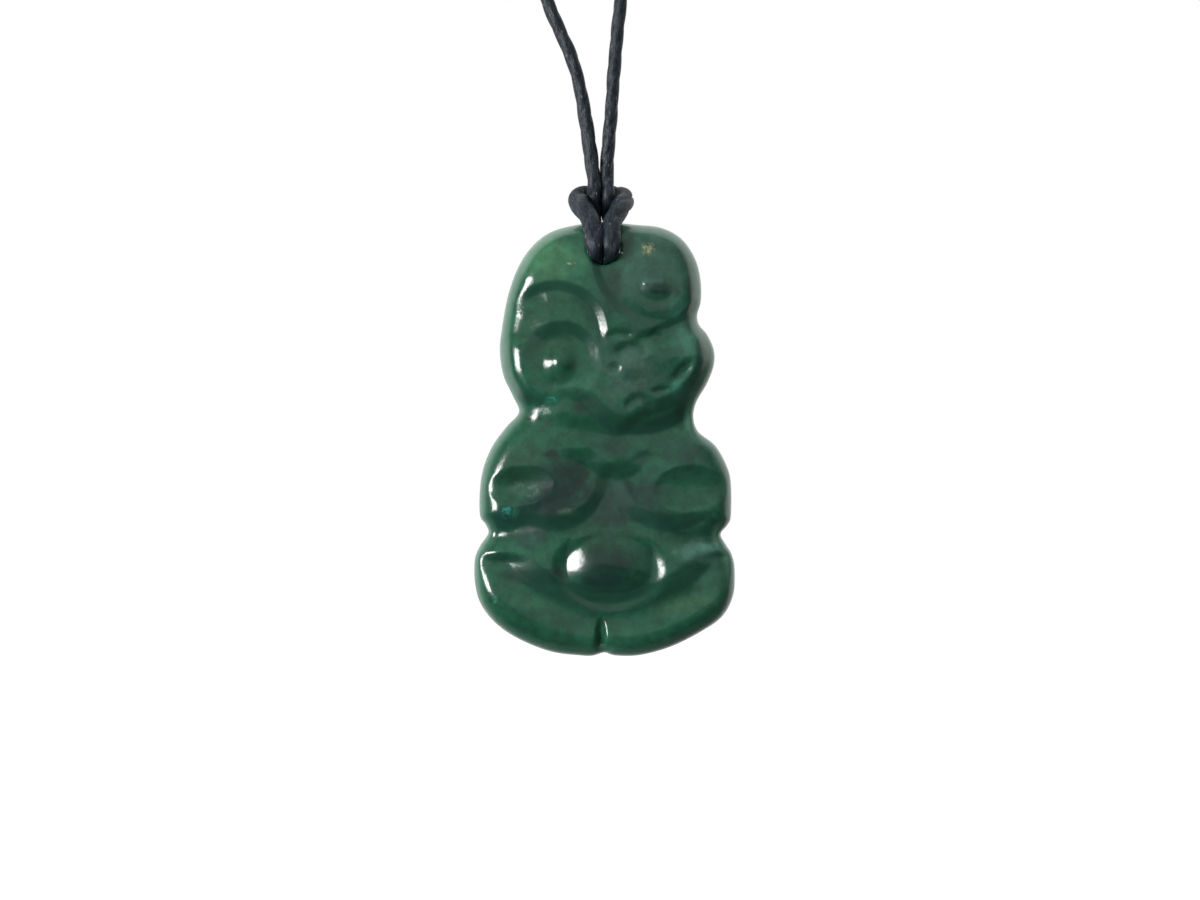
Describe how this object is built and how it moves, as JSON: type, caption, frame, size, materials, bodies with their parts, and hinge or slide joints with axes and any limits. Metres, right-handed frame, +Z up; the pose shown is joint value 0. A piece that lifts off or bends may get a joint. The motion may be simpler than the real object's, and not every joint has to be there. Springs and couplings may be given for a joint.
{
  "type": "hei tiki pendant",
  "caption": "Carved greenstone pendant of a squatting figure with a tilted head, on a dark waxed cord necklace that is looped through a drilled hole.",
  "frame": {"origin": "underside of the closing knot at the nape, where the necklace hangs", "axes": "+Z up along the hanging necklace, the carved face looks along -Y, +X to the right of the picture"},
  "size_m": [0.1152, 0.008, 0.3408],
  "materials": {
    "greenstone": "polished",
    "waxed_cord": "waxed"
  },
  "bodies": {
    "root": {"pendant": "greenstone", "cord": "waxed_cord", "closing_knot": "waxed_cord"}
  },
  "joints": []
}
